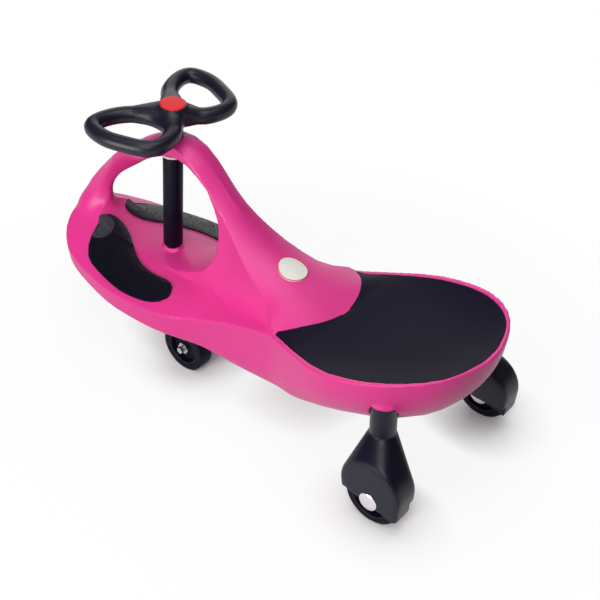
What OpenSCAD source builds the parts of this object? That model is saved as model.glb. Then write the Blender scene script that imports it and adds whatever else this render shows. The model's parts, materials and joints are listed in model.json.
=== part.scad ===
// Wiggle car: a child's ride-on that rolls forward as its steering wheel is swung from side to side.
// Millimetres. +X is forward, +Y is the rider's left, +Z is up and the floor is z = 0.

/* [Body] */
// Length of the moulded body from tail to nose
body_length = 774; // [740:1:820]
// Width of the moulded body over the rim of the seat
body_width = 276; // [264:1:292]
// Height of the moulded body from its underside to the top of the arch
body_height = 261; // [252:1:272]
// Room between the front tyres and the underside of the body
truck_room = 19; // [17.5:0.5:25]
// Thickness of the seat pad
seat_pad_t = 3; // [2:0.5:5]
// Thickness of the foot pads
foot_pad_t = 2; // [1:0.5:4]
// Diameter of the round badge plate on the saddle
badge_d = 44; // [30:1:50]
// Thickness of the badge plate
badge_t = 1.5; // [1:0.5:3]
// Gap between a pad or plate and the moulding it lies on
pad_gap = 0.3; // [0.2:0.05:0.5]

/* [Steering column] */
// Place of the column along the body, ahead of the body's middle
column_station = 186; // [180:1:190]
// Lean of the column, back from upright
rake = 5; // [4:0.25:6]
// Diameter of the steel steering shaft
shaft_d = 16; // [14:0.5:18]
// Diameter of the sleeve that covers the shaft
sleeve_d = 30; // [28:0.5:34]
// Wall of the sleeve
sleeve_wall = 4; // [2:0.5:5]
// How far the boss on the deck lifts the foot of the sleeve
boss_rise = 6; // [4:0.5:8]
// Diameter of the bushes' barrels
bush_d = 24; // [22:0.5:27]
// Diameter of the bushes' flanges
bush_flange_d = 36; // [33:0.5:40]
// Thickness of the bushes' flanges
bush_flange_t = 3; // [2:0.5:5]
// Thickness of every washer
washer_t = 2.5; // [1.5:0.5:4]
// Height of the nuts on the shaft
nut_h = 9; // [7:0.5:12]
// Width across the flats of the nuts on the shaft
nut_af = 24; // [22:0.5:27]

/* [Steering wheel] */
// Thickness of the wheel's grip
grip_d = 24; // [20:0.5:26]
// Width of the wheel over both loops
wheel_span = 236; // [216:2:256]
// Fore and aft depth of the wheel over the loops
wheel_depth = 129; // [120:1:138]
// Rise of the grip's middle above the top of the arch
wheel_rise = 30; // [26:1:35]
// Wall of the wheel's hub round the cap
hub_rim = 2.5; // [2:0.25:4]
// Diameter of the hub's neck above the arch
hub_neck_d = 30; // [27:0.5:34]
// Diameter of the round cap on the hub
cap_d = 37; // [34:0.5:40]
// Thickness of the cap
cap_t = 4; // [3:0.5:6]

/* [Front wheels] */
// Diameter of the front tyres
front_tyre_d = 78; // [73:1:83]
// Width of the front tyres
front_tyre_w = 24; // [21:1:26]
// Distance between the middles of the front tyres
front_track = 128; // [120:1:136]
// Distance from the steering axis back to the front axle
front_trail = 93.5; // [89:0.5:98]
// Diameter of the front axle
front_axle_d = 10; // [8:0.5:12]
// Diameter of the truck's boss
truck_boss_d = 44; // [40:1:50]
// Diameter of the truck's axle beam
truck_beam_d = 26; // [22:1:32]
// Height of the truck's boss
truck_boss_h = 40; // [34:1:44]

/* [Rear wheels] */
// Diameter of the rear tyres
rear_tyre_d = 86; // [82:1:90]
// Width of the rear tyres
rear_tyre_w = 22; // [19:0.5:24]
// How far the middle of each rear tyre stands inside the body's side
rear_inset = 4; // [1:0.5:7]
// Distance from the tail forward to the rear axles
rear_setback = 80; // [76:1:84]
// Diameter of the rear axles
rear_axle_d = 10; // [8:0.5:12]
// Wall of the wheel housings
housing_wall = 3; // [2.5:0.5:4]
// Depth of the hollow behind each wheel, on the inboard side of its housing
housing_hollow = 7; // [6:0.5:10]
// Room between a tyre and its housing
housing_room = 1.25; // [1:0.25:2]
// Diameter of a leg's neck
neck_d = 36; // [33:0.5:40]
// Diameter of the stem that plugs into the body
stem_d = 22; // [18:0.5:24]
// Length of the stem inside the body
stem_len = 14; // [10:1:16]
// How far a neck stands inboard of its wheel
neck_inset = 31; // [28:1:34]
// How far a neck stands ahead of its wheel
neck_lead = 14; // [10:1:18]
// Diameter of the axle caps
axle_cap_d = 28; // [24:1:32]
// Thickness of the axle caps
axle_cap_t = 2.5; // [2:0.5:4]

/* [Fits] */
// Radial clearance of a pin, shaft or stem in its bore
running_fit = 0.05; // [0.02:0.01:0.1]
// End gap between parts that turn past each other
end_gap = 0.4; // [0.3:0.05:0.8]

/* [Hidden] */
$fn = 64;

// Colours
pink = "#da3988";
charcoal = "#26212e";
black = "#1a1726";
steel = "#b8b8bc";
red = "#dd363c";
pale = "#e6e2de";
grey = "#4a484d";

// The body's lines are drawn at these sizes and stretched to the sizes asked for
drawn_length = 774;
drawn_width = 276;
drawn_height = 261;
stretch_x = body_length / drawn_length;
stretch_y = body_width / drawn_width;
stretch_z = body_height / drawn_height;
underside_z = front_tyre_d + truck_room;

// Lines of the body: [station, value], heights above the underside, half widths from the middle
tail_x = -387;
nose_x = 387;
rim_y_line = [[-387, 0], [-380, 38], [-366, 72], [-345, 98], [-309, 122], [-265, 135], [-209, 137],
    [-140, 115], [-95, 98], [-20, 96], [38, 101], [81, 111], [122, 118], [169, 119.5], [216, 118],
    [292, 102], [333, 87], [365, 61], [380, 34], [387, 0]];
rim_z_line = [[-387, 141], [-345, 138], [-309, 132], [-209, 107.5], [-140, 93], [-90, 83.5], [-20, 66],
    [40, 47], [90, 34], [150, 28], [216, 27], [292, 28.5], [333, 34], [365, 44], [387, 55]];
keel_z_line = [[-387, 128], [-375, 92], [-350, 55], [-320, 30], [-280, 11], [-240, 0], [-200, -11],
    [-150, -20], [-100, -23], [-60, -23], [0, -18], [50, -11], [150, -9], [196, -8], [240, -5],
    [280, -1.5], [310, 1.5], [340, 7], [370, 20], [387, 43]];
crest_z_line = [[-387, 144], [-380, 140], [-360, 125], [-335, 114], [-300, 105], [-250, 98], [-200, 94],
    [-165, 94], [-150, 96], [-120, 105], [-55, 123], [-10, 141], [30, 169], [60, 198], [90, 228],
    [115, 249], [145, 260], [175, 258], [215, 240], [250, 218], [284, 192], [321, 156], [350, 122],
    [375, 87], [387, 68]];
ridge_y_line = [[-381, 0], [-376, 32], [-366, 63], [-345, 90], [-309, 114], [-265, 127], [-209, 129],
    [-150, 112], [-110, 96], [-90, 90], [-70, 69], [-50, 59], [0, 43], [38, 29], [60, 25], [100, 24],
    [200, 24], [300, 25], [350, 27], [372, 24], [387, 4]];
ridge_z_line = [[-387, 142], [-345, 138], [-309, 132], [-209, 107.5], [-140, 93], [-105, 87], [-80, 96],
    [-50, 105], [0, 131], [38, 164], [71, 195.5], [94, 222], [117, 243], [145, 254], [175, 252],
    [215, 234], [250, 212], [284, 186], [321, 150], [350, 116], [375, 82], [387, 65]];
root_share_line = [[-387, 0.5], [-90, 0.5], [0, 0.64], [40, 0.56], [62, 0.48], [100, 0.29], [186, 0.23],
    [270, 0.2], [310, 0.2], [340, 0.2], [370, 0.3], [387, 0.5]];
root_rise_line = [[-387, 1], [-90, 1], [-50, 2], [0, 4], [40, 8], [62, 12], [100, 18], [186, 23],
    [290, 28], [325, 28], [350, 22], [375, 12], [387, 3]];
// Roundness of the hull's section and of the surface between the two ridges
hull_power_line = [[-387, 2], [-300, 2.1], [-240, 2.2], [-190, 2.6], [-150, 3.6], [-110, 5.5], [-60, 8],
    [0, 10], [300, 10], [345, 5], [370, 2.8], [387, 2]];
top_power_line = [[-387, 2], [-200, 4], [-150, 3], [-100, 2.2], [0, 2], [100, 2.5], [387, 2.5]];
// The window under the arch rises and drops from a slanting line between its two ends
window_back = [62, 141];
window_front = [330, 92];
window_rise_line = [[62, 0], [68, 33], [90, 74], [140, 109], [186, 103], [254, 71], [300, 45],
    [322, 22], [330, 0]];
window_drop_line = [[62, 0], [68, 30], [90, 60], [140, 70], [186, 63], [254, 49], [300, 31],
    [322, 16], [330, 0]];
// Rounding of the window's upper edge, and the scoop along the sides of the front leg
lintel_round_line = [[62, 5], [200, 5], [260, 11], [330, 14]];
scoop_line = [[215, 0], [240, 4], [280, 8], [325, 10], [350, 7], [368, 0]];
// Seat pad and the tongue of the saddle that laps into it
seat_back = -380;
seat_tip = -90;
pad_tip = seat_tip - 9;
tongue_end = -150;
tongue_half = 92;
tongue_power = 1.43;
step = 0.3;

// Points in each stretch of a half section, from the keel round to the crest
hull_steps = 6;
deck_steps = 3;
low_steps = 3;
sill_steps = 3;
high_parts = [0.35, 0.65, 0.87, 1];
scoop_parts = [0.25, 0.65, 1, 0];
dish_parts = [0.08, 0.22, 0.45, 0.72];
tongue_steps = 3;
flank_lean_line = [[-387, 0.5], [-110, 0.5], [-30, 0.12], [387, 0.12]];
sill_crown = 3;
deck_bulge = 3;

// Smooth value of a line at a station
function slope(line, i) =
    let (a = max(i - 1, 0), b = min(i + 1, len(line) - 1))
    (line[b][1] - line[a][1]) / (line[b][0] - line[a][0]);
function stretch_at(line, x) = max([for (i = [0 : len(line) - 2]) if (i == 0 || x >= line[i][0]) i]);
function along(line, x) =
    let (
        i = stretch_at(line, x),
        h = line[i + 1][0] - line[i][0],
        t = min(max((x - line[i][0]) / h, 0), 1)
    )
    line[i][1] * (1 + 2 * t) * (1 - t) ^ 2 + slope(line, i) * h * t * (1 - t) ^ 2
    + line[i + 1][1] * t ^ 2 * (3 - 2 * t) - slope(line, i + 1) * h * t ^ 2 * (1 - t);
// The same for a half width whose outline closes in a round end
function round_along(line, x) = sqrt(max(0, along([for (p = line) [p[0], p[1] ^ 2]], x)));
function mix(a, b, t) = a + (b - a) * t;

function rim_y(x) = max(10, round_along(rim_y_line, x));
function rim_z(x) = along(rim_z_line, x);
function ridge_y(x) = min(rim_y(x) - 2, max(5, round_along(ridge_y_line, x)));
function ridge_z(x) = along(ridge_z_line, x);
function crest_z(x) = along(crest_z_line, x);
function root_y(x) = mix(ridge_y(x), rim_y(x), along(root_share_line, x));
function root_z(x) = rim_z(x) + along(root_rise_line, x);

// Surface between the ridges: seat, saddle and the back of the arch
function top_z(x, y) =
    crest_z(x) + (ridge_z(x) - crest_z(x)) * min(1, abs(y) / ridge_y(x)) ^ along(top_power_line, x);

// Half width of the tongue, carried on as a line of the mesh before and behind it
function tongue_y(x) =
    x < tongue_end - step ? min(0.4 * ridge_y(x), 5 + 1.2 * (tongue_end - x)) :
    x > seat_tip ? max(0.5 * ridge_y(x), ridge_y(x) - 2 - 1.2 * (x - seat_tip)) :
    min(ridge_y(x) - 2,
        max(4, tongue_half * sqrt(1 - ((seat_tip - x) / (seat_tip - tongue_end)) ^ tongue_power)));
function seat_sink(x) = x > seat_back - step && x < pad_tip + step ? seat_pad_t / stretch_z : 0;
function tongue_sink(x) = x < tongue_end - step ? seat_sink(x) : 0;

// Side of the arch's legs: a curve that leaves the deck level at the root and stands up to the ridge
function flank(x, t) =
    let (lean_y = mix(ridge_y(x), root_y(x), along(flank_lean_line, x)))
    [
        root_y(x) * (1 - t) ^ 2 + 2 * lean_y * t * (1 - t) + ridge_y(x) * t ^ 2,
        mix(root_z(x), ridge_z(x), t ^ 2)
    ];
function flank_at(x, z) = sqrt(max(0.015, (z - root_z(x)) / (ridge_z(x) - root_z(x))));

// The window under the arch
function in_window(x) = x >= window_back[0] && x <= window_front[0];
function window_mid(x) =
    mix(window_back[1], window_front[1], (x - window_back[0]) / (window_front[0] - window_back[0]));
function sill_z(x) = window_mid(x) - round_along(window_drop_line, x);
function lintel_z(x) = window_mid(x) + round_along(window_rise_line, x);
function openness(x) = min(1, (lintel_z(x) - sill_z(x)) / 30);
function split_x(x) = x < column_station ? window_back[0] : window_front[0];
function split_t(x) =
    mix(flank_at(split_x(x), window_mid(split_x(x))), 0.35, min(1, abs(x - split_x(x)) / 90));
function low_t(x) = in_window(x) ? flank_at(x, sill_z(x) - sill_crown * openness(x)) : split_t(x);
function high_t(x) =
    in_window(x) ? flank_at(x, lintel_z(x) + along(lintel_round_line, x) * openness(x)) : split_t(x);

// Stretches of the half section at a station, as [y, z]
function hull_part(x) =
    let (keel = along(keel_z_line, x), power = 2 / along(hull_power_line, x))
    [for (k = [0 : hull_steps]) let (a = 90 * k / hull_steps)
        [rim_y(x) * sin(a) ^ power, rim_z(x) - (rim_z(x) - keel) * cos(a) ^ power]];
function deck_part(x) =
    [for (k = [1 : deck_steps]) let (s = k / deck_steps)
        [mix(rim_y(x), root_y(x), s), mix(rim_z(x), root_z(x), s) + deck_bulge * sin(180 * s)
            * min(1, along(root_rise_line, x) / 12)]];
function low_part(x) = [for (k = [1 : low_steps]) flank(x, low_t(x) * k / low_steps)];
function sill_part(x) =
    let (edge = flank(x, low_t(x)), mid = in_window(x) ? sill_z(x) : edge[1])
    [for (k = [1 : sill_steps]) let (u = 1 - k / sill_steps) [edge[0] * u, mix(mid, edge[1], u ^ 2)]];
function lintel_part(x) =
    let (edge = flank(x, high_t(x)), mid = in_window(x) ? lintel_z(x) : edge[1])
    [for (k = [0 : sill_steps]) let (u = k / sill_steps) [edge[0] * u, mix(mid, edge[1], u ^ 3)]];
function high_part(x) =
    [for (k = [0 : len(high_parts) - 1])
        let (p = flank(x, mix(high_t(x), 1, high_parts[k])))
        [p[0] - scoop_parts[k] * max(0, along(scoop_line, x)), p[1]]];
function top_point(x, y, sink) = [y, top_z(x, y) - sink];
function top_part(x) =
    let (r = ridge_y(x), t = tongue_y(x))
    concat(
        [top_point(x, r - step, seat_sink(x))],
        [for (f = dish_parts) top_point(x, mix(r - step, t + step, f), seat_sink(x))],
        [top_point(x, t + step, seat_sink(x)), top_point(x, t - step, tongue_sink(x))],
        [for (k = [1 : tongue_steps]) top_point(x, (t - step) * (1 - k / tongue_steps), tongue_sink(x))]
    );
function half_section(x) =
    concat(hull_part(x), deck_part(x), low_part(x), sill_part(x), lintel_part(x), high_part(x), top_part(x));
function placed(x, p, side) = [x * stretch_x, side * p[0] * stretch_y, underside_z + p[1] * stretch_z];

// Places of the section's joints in its list of points
split_low = hull_steps + deck_steps + low_steps;
sill_mid = split_low + sill_steps;
lintel_mid = sill_mid + 1;
split_high = lintel_mid + sill_steps;
crest = split_high + len(high_parts) + 1 + len(dish_parts) + 2 + tongue_steps;
half_count = crest + 1;

// Stations, drawn close together where the outline turns in
function eased(a, b, n, from, to) =
    let (c0 = cos(from), c1 = cos(to))
    [for (k = [1 : n]) mix(a, b, (cos(mix(from, to, k / n)) - c0) / (c1 - c0))];
seat_run = eased(seat_back, tongue_end - 2 * step, 11, 0, 75);
tongue_run = eased(tongue_end, pad_tip, 7, 0, 90);
stations = concat(
    [tail_x], eased(tail_x, seat_back - 2 * step, 3, 0, 60), [seat_back], seat_run,
    [tongue_end], tongue_run, [pad_tip + 2 * step],
    eased(pad_tip + 2 * step, window_back[0], 9, 20, 160),
    eased(window_back[0], window_front[0], 16, 0, 180),
    eased(window_front[0], nose_x, 7, 90, 180)
);
last_station = len(stations) - 1;

// Number of a point of the shell; a solid section folds the lintel onto the sill
function is_open(i) = stations[i] > window_back[0] && stations[i] < window_front[0];
function folded(i, j) = !is_open(i) && j > sill_mid && j <= split_high ? sill_mid + lintel_mid - j : j;
function on_middle(j) = j == 0 || j == sill_mid || j == lintel_mid || j == crest;
function shell_id(i, j, side) =
    let (f = folded(i, j))
    i * 2 * half_count + (side < 0 && !on_middle(f) ? half_count : 0) + f;
function strip_used(i, j) =
    j < split_low || j >= split_high
    || (j != sill_mid && in_window(stations[i]) && in_window(stations[min(i + 1, last_station)])
        && i < last_station && i > 0);
function two_triangles(a, b, c, d) = [[a, b, c], [a, c, d]];
function kept(faces) = [for (f = faces) if (f[0] != f[1] && f[1] != f[2] && f[2] != f[0]) f];
function shell_sides() = [
    for (i = [0 : last_station - 1], j = [0 : crest - 1]) if (strip_used(i, j))
        for (side = [1, -1])
            let (
                a = shell_id(i, j, side), b = shell_id(i, j + 1, side),
                c = shell_id(i + 1, j + 1, side), d = shell_id(i + 1, j, side)
            )
            each two_triangles(a, side > 0 ? d : b, c, side > 0 ? b : d)
];
function shell_end(i, turn) = [
    for (j = [1 : crest - 1], side = [1, -1]) if (j < split_low || j >= split_high)
        let (keel = shell_id(i, 0, 1), a = shell_id(i, j, side), b = shell_id(i, j + 1, side))
        (side > 0) == turn ? [keel, b, a] : [keel, a, b]
];
module shell_skin()
    polyhedron(
        points = [for (x = stations) let (h = half_section(x))
            for (side = [1, -1], p = h) placed(x, p, side)],
        faces = kept(concat(shell_sides(), shell_end(0, false), shell_end(last_station, true))),
        convexity = 10
    );

// Heights of the finished surfaces at places on the car
function seat_at(x, y) = underside_z + top_z(x, y) * stretch_z;
deck_first = hull_steps;
function deck_at(x, y) =
    let (h = concat(hull_part(x), deck_part(x), low_part(x), sill_part(x)))
    underside_z + stretch_z * lookup(-abs(y), [for (k = [deck_first : sill_mid]) [-h[k][0], h[k][1]]]);

// A thin plate between two grids of points, split like the skin; cells that are not kept leave gaps
module plate(top, low, keep, fold = 1000) {
    rows = len(top);
    cols = len(top[0]);
    count = rows * cols;
    is_cell = function(i, j) i >= 0 && j >= 0 && i < rows - 1 && j < cols - 1 && keep(i, j);
    at = function(i, j) i * cols + j;
    faces = [
        for (i = [0 : rows - 2], j = [0 : cols - 2]) if (is_cell(i, j))
            let (a = at(i, j), b = at(i, j + 1), c = at(i + 1, j + 1), d = at(i + 1, j))
            each concat(
                j < fold ? two_triangles(a, b, c, d) : two_triangles(b, c, d, a),
                j < fold ? two_triangles(a + count, d + count, c + count, b + count) :
                    two_triangles(b + count, a + count, d + count, c + count),
                is_cell(i, j - 1) ? [] : two_triangles(a, d, d + count, a + count),
                is_cell(i, j + 1) ? [] : two_triangles(c, b, b + count, c + count),
                is_cell(i - 1, j) ? [] : two_triangles(b, a, a + count, b + count),
                is_cell(i + 1, j) ? [] : two_triangles(d, c, c + count, d + count)
            )
    ];
    polyhedron(points = [for (grid = [top, low], row = grid, p = row) p], faces = faces, convexity = 6);
}

// Column frame: local z runs up the steering axis from the deck, local x runs forward
column_x = column_station * stretch_x;
deck_z = deck_at(column_station, 0);
axis_up = [-sin(rake), 0, cos(rake)];
function column_height(z) = (z - deck_z) / cos(rake);
function station_at(s) = (column_x - s * sin(rake)) / stretch_x;
module on_column(s = 0)
    translate([column_x, 0, deck_z]) rotate([0, -rake, 0]) translate([0, 0, s]) children();

// Seats of the bushes, as heights along the axis
seat_depth = 2;
s_under = column_height(underside_z + along(keel_z_line, column_station) * stretch_z) + seat_depth;
s_lintel_first = column_height(underside_z + lintel_z(column_station) * stretch_z);
s_lintel = column_height(underside_z + lintel_z(station_at(s_lintel_first)) * stretch_z) + seat_depth;
s_crest_first = column_height(underside_z + crest_z(column_station) * stretch_z);
s_crest = column_height(underside_z + crest_z(station_at(s_crest_first)) * stretch_z) - seat_depth;
s_thrust = s_under - bush_flange_t - end_gap;
s_boss = s_thrust - washer_t;
s_boss_end = s_boss - truck_boss_h;
s_shaft_end = s_boss_end - washer_t - nut_h - 2;
s_hub = s_crest + end_gap;
s_grip = s_crest + seat_depth + wheel_rise;
s_hub_top = s_grip + grip_d / 2 + 9;
s_cap = s_hub_top - cap_t + 1;
s_nut_seat = s_cap - nut_h - washer_t - 1;
shaft_bore_d = shaft_d + 2 * running_fit;
spot_d = bush_flange_d + 2;

// Wheel places
function along_axis(s) = [column_x, 0, deck_z] + s * axis_up;
front_axle_z = front_tyre_d / 2;
front_axle_x =
    column_x - (front_axle_z - deck_z) * tan(rake) - front_trail / cos(rake);
front_axle_s = (front_axle_z - deck_z) * cos(rake) - (front_axle_x - column_x) * sin(rake);
front_axle_r = (front_axle_x - column_x) * cos(rake) + (front_axle_z - deck_z) * sin(rake);
rear_axle_x = tail_x * stretch_x + rear_setback;
rear_track = body_width - 2 * rear_inset;
rear_axle_z = rear_tyre_d / 2;
front_beam_w = front_track - front_tyre_w - 2 * end_gap - 2 * washer_t;
front_axle_len = front_track + front_tyre_w + 14;
cavity_w = rear_tyre_w + 2 * housing_room;
housing_w = cavity_w + 2 * housing_wall;
cavity_d = rear_tyre_d + 2 * housing_room;
housing_d = cavity_d + 2 * housing_wall;
housing_chamfer = 4;
housing_lift = 20;
housing_tilt = 12;
housing_skirt = 6;
inner_skirt = 14;
housing_reach = housing_w + housing_hollow + housing_wall;

// Collar that laps round the top of a neck
collar_lap = 3;
collar_wall = 3;
module collar()
    rotate_extrude($fn = 32) polygon([
        [0, -collar_lap], [neck_d / 2 + collar_wall, -collar_lap], [neck_d / 2 + collar_wall, 2],
        [neck_d / 2 - 1, 8], [0, 13]
    ]);

// Shell with its window, seats and sockets
boss_root = 10;
module body_shell()
    color(pink) difference() {
        union() {
            shell_skin();
            for (side = [1, -1]) leg_stem_place(side) collar();
            on_column(-boss_root)
                cylinder(d1 = sleeve_d + boss_root, d2 = sleeve_d - 1, h = boss_root + boss_rise, $fn = 48);
        }
        on_column(s_under - 20) cylinder(d = bush_d + 2 * running_fit, h = 20 - s_under + 20);
        on_column(s_under - 20) cylinder(d = spot_d, h = 20);
        on_column(s_lintel - 15) cylinder(d = bush_d + 2 * running_fit, h = s_crest - s_lintel + 30);
        on_column(s_lintel - 15) cylinder(d = spot_d, h = 15);
        on_column(s_crest) cylinder(d = hub_neck_d + 6, h = 15);
        for (side = [1, -1]) leg_stem_place(side) {
            translate([0, 0, -stem_len]) cylinder(d = stem_d + 2 * running_fit, h = 2 * stem_len);
            translate([0, 0, -80]) cylinder(d = neck_d + 2 * running_fit, h = 80);
        }
    }

// Seat pad, laid in the shallow recess of the seat
pad_inset = step + pad_gap;
function but_last(list) = [for (k = [0 : len(list) - 2]) list[k]];
function turned(list) = [for (k = [len(list) - 1 : -1 : 0]) list[k]];
seat_rows = concat(
    [seat_back + pad_inset], but_last(seat_run), [tongue_end - 2 * step - pad_inset],
    [tongue_end + 0.5], but_last(tongue_run), [pad_tip - 2]
);
function seat_half(x) =
    let (r = ridge_y(x) - step, t = tongue_y(x) + step, lap = x < tongue_end - step ? 0 : pad_gap)
    concat([r - pad_gap], [for (f = dish_parts) mix(r, t, f)], [t + lap, 2 * t / 3, t / 3]);
function seat_row(x, lift) =
    [for (y = concat(-seat_half(x), [0], turned(seat_half(x))))
        [x * stretch_x, y * stretch_y, seat_at(x, y) + lift]];
module seat_pad() {
    outer = len(dish_parts) + 1;
    middle = outer + 3;
    color(charcoal) plate(
        [for (x = seat_rows) seat_row(x, 0)],
        [for (x = seat_rows) seat_row(x, pad_gap - seat_pad_t)],
        function(i, j) seat_rows[i + 1] < tongue_end || j < outer || j >= 2 * middle - outer,
        middle
    );
}

// Foot pads, on the sloping deck either side of the column
foot_inner_line = [[113, 84], [119, 71], [137, 63], [161, 64], [193, 60], [222, 47], [246, 30], [272, 16],
    [295, 12], [307, 16], [315, 28]];
foot_outer_line = [[113, 88], [119, 98], [135, 106], [157, 110], [197, 111], [252, 100], [288, 86],
    [305, 63], [315, 34]];
foot_back = foot_inner_line[0][0];
foot_front = foot_inner_line[len(foot_inner_line) - 1][0];
foot_steps = concat([foot_back], eased(foot_back, foot_front, 16, 0, 180));
foot_rows = [for (x = stations) if (x > foot_back - 25 && x < window_front[0]) x];
function deck_row(x, lift) =
    let (h = concat(hull_part(x), deck_part(x), low_part(x), sill_part(x)))
    [for (k = [deck_first : sill_mid]) placed(x, h[k], -1) + [0, 0, lift]];
module foot_pad()
    color(black) intersection() {
        plate(
            [for (x = foot_rows) deck_row(x, pad_gap + foot_pad_t)],
            [for (x = foot_rows) deck_row(x, pad_gap)],
            function(i, j) true
        );
        linear_extrude(underside_z + body_height) polygon(concat(
            [for (x = foot_steps) [x * stretch_x, -along(foot_outer_line, x) * stretch_y]],
            [for (x = turned(foot_steps)) [x * stretch_x, -along(foot_inner_line, x) * stretch_y]]
        ));
    }
module left_foot_pad() mirror([0, 1, 0]) foot_pad();
module right_foot_pad() foot_pad();

// Round plate that follows the saddle
badge_x = -55;
badge_grid = [for (k = [-4 : 4]) k / 4];
function badge_row(u, lift) =
    [for (v = badge_grid)
        let (
            x = badge_x + badge_d / 2 / stretch_x * u * sqrt(1 - v ^ 2 / 2),
            y = badge_d / 2 / stretch_y * v * sqrt(1 - u ^ 2 / 2)
        )
        [x * stretch_x, y * stretch_y, seat_at(x, y) + lift]];
module badge_plate()
    color(pale) plate(
        [for (u = badge_grid) badge_row(u, pad_gap + badge_t)],
        [for (u = badge_grid) badge_row(u, pad_gap)],
        function(i, j) true
    );

// Column bushes
module bush(length)
    difference() {
        union() {
            translate([0, 0, -bush_flange_t]) cylinder(d = bush_flange_d, h = bush_flange_t);
            cylinder(d = bush_d, h = length);
        }
        translate([0, 0, -bush_flange_t - 1]) cylinder(d = shaft_bore_d, h = length + bush_flange_t + 2);
    }
module lower_bush() color(pale) on_column(s_under) bush(boss_rise - s_under);
module upper_bush() color(pale) on_column(s_lintel) bush(s_crest - s_lintel);

// Shaft, sleeve, washers and nuts on the steering axis
module steering_shaft()
    color(steel) on_column(s_shaft_end) cylinder(d = shaft_d, h = s_cap - 1 - s_shaft_end);
sleeve_len = s_lintel - bush_flange_t - boss_rise - 2 * end_gap;
sleeve_round = sleeve_wall - 1;
module column_sleeve()
    color(black) on_column(boss_rise + end_gap) rotate_extrude() translate([sleeve_d / 2, 0]) polygon([
        [-sleeve_wall, 0], [-sleeve_round, 0], [-sleeve_round / 3, sleeve_round / 3], [0, sleeve_round],
        [0, sleeve_len - sleeve_round], [-sleeve_round / 3, sleeve_len - sleeve_round / 3],
        [-sleeve_round, sleeve_len], [-sleeve_wall, sleeve_len]
    ]);
module washer(outer, inner, t)
    difference() {
        cylinder(d = outer, h = t);
        translate([0, 0, -1]) cylinder(d = inner, h = t + 2);
    }
module nut(across, bore, h)
    difference() {
        cylinder(d = across / cos(30), h = h, $fn = 6);
        translate([0, 0, -1]) cylinder(d = bore, h = h + 2);
    }
module thrust_washer() color(pale) on_column(s_boss) washer(bush_flange_d, shaft_bore_d, washer_t);
module truck_washer()
    color(steel) on_column(s_boss_end - washer_t - 0.05) washer(bush_flange_d, shaft_bore_d, washer_t);
module truck_nut()
    color(steel) on_column(s_boss_end - washer_t - nut_h - 0.1) nut(nut_af, shaft_bore_d, nut_h);
module wheel_washer() color(steel) on_column(s_nut_seat) washer(nut_well_d - 1, shaft_bore_d, washer_t);
module wheel_nut() color(steel) on_column(s_nut_seat + washer_t) nut(nut_af, shaft_bore_d, nut_h);

// Steering wheel: two loops whose arms run into a hub round the cap
hub_d = cap_d + 2 * hub_rim;
nut_well_d = nut_af / cos(30) + 2;
drawn_span = 212;
drawn_depth = 105;
loop_points = [[62, 71], [60, 98], [30, 106], [0, 99], [-33, 83], [-41, 58], [-26, 27], [10, 21], [44, 38]];
loop_swell = [1, 1, 1, 1, 1, 1, 1.15, 1.25, 1.1];
loop_steps = 36;
loop_sides = 12;
function loop_at(t) =
    let (
        n = len(loop_points), i = floor(t), f = t - i,
        p = [for (k = [-1 : 2]) loop_points[(i + k + n) % n]]
    )
    0.5 * (2 * p[1] + (p[2] - p[0]) * f + (2 * p[0] - 5 * p[1] + 4 * p[2] - p[3]) * f ^ 2
        + (3 * p[1] - p[0] - 3 * p[2] + p[3]) * f ^ 3);
function loop_place(k) =
    let (p = loop_at((k % loop_steps) * len(loop_points) / loop_steps))
    [p[0] * (wheel_depth - grip_d) / drawn_depth, p[1] * (wheel_span - grip_d) / drawn_span, 0];
function swell_at(t) =
    let (n = len(loop_swell), i = floor(t), f = t - i)
    mix(loop_swell[i % n], loop_swell[(i + 1) % n], f ^ 2 * (3 - 2 * f));
function loop_ring(k) =
    let (
        c = loop_place(k),
        r = grip_d / 2 * swell_at(k * len(loop_points) / loop_steps),
        d = loop_place(k + 1) - loop_place(k + loop_steps - 1),
        out = [d[1], -d[0], 0] / norm(d)
    )
    [for (a = [0 : loop_sides - 1]) c + out * r * cos(360 * a / loop_sides)
        + [0, 0, grip_d / 2 * sin(360 * a / loop_sides)]];
module wheel_loop()
    polyhedron(
        points = [for (k = [0 : loop_steps - 1]) each loop_ring(k)],
        faces = [for (k = [0 : loop_steps - 1], a = [0 : loop_sides - 1])
            let (n = (k + 1) % loop_steps, b = (a + 1) % loop_sides)
            each two_triangles(
                k * loop_sides + a, k * loop_sides + b, n * loop_sides + b, n * loop_sides + a
            )],
        convexity = 6
    );
arm_spots = [6, 8];
module wheel_hub() {
    low = s_hub - s_grip;
    high = s_hub_top - s_grip;
    rotate_extrude() polygon([
        [0, low], [hub_neck_d / 2, low], [hub_neck_d / 2, -grip_d / 2 - 4], [hub_d / 2 - 1, 2 - grip_d / 2],
        [hub_d / 2, 6 - grip_d / 2], [hub_d / 2, high - 3], [hub_d / 2 - 0.7, high - 1],
        [cap_d / 2 + 0.5, high], [0, high]
    ]);
}
module wheel_arm(spot)
    hull() {
        translate([0, 0, 3 - grip_d / 2]) cylinder(d = hub_d - 3, h = s_hub_top - s_grip + grip_d / 2 - 7);
        translate(loop_place(spot * loop_steps / len(loop_points))) sphere(d = grip_d - 0.5, $fn = 16);
    }
module wheel_skin()
    resize([0, 0, 0]) union() {
        wheel_hub($fn = 40);
        for (side = [0, 1]) mirror([0, side, 0]) {
            wheel_loop();
            for (spot = arm_spots) wheel_arm(spot, $fn = 40);
        }
    }
module steering_wheel()
    color(charcoal) difference() {
        on_column(s_grip) wheel_skin();
        on_column(s_hub - 5) cylinder(d = shaft_bore_d, h = s_hub_top - s_hub + 10);
        on_column(s_nut_seat) cylinder(d = nut_well_d, h = 50);
        on_column(s_cap) cylinder(d = cap_d + 2 * running_fit, h = 50);
    }
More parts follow.
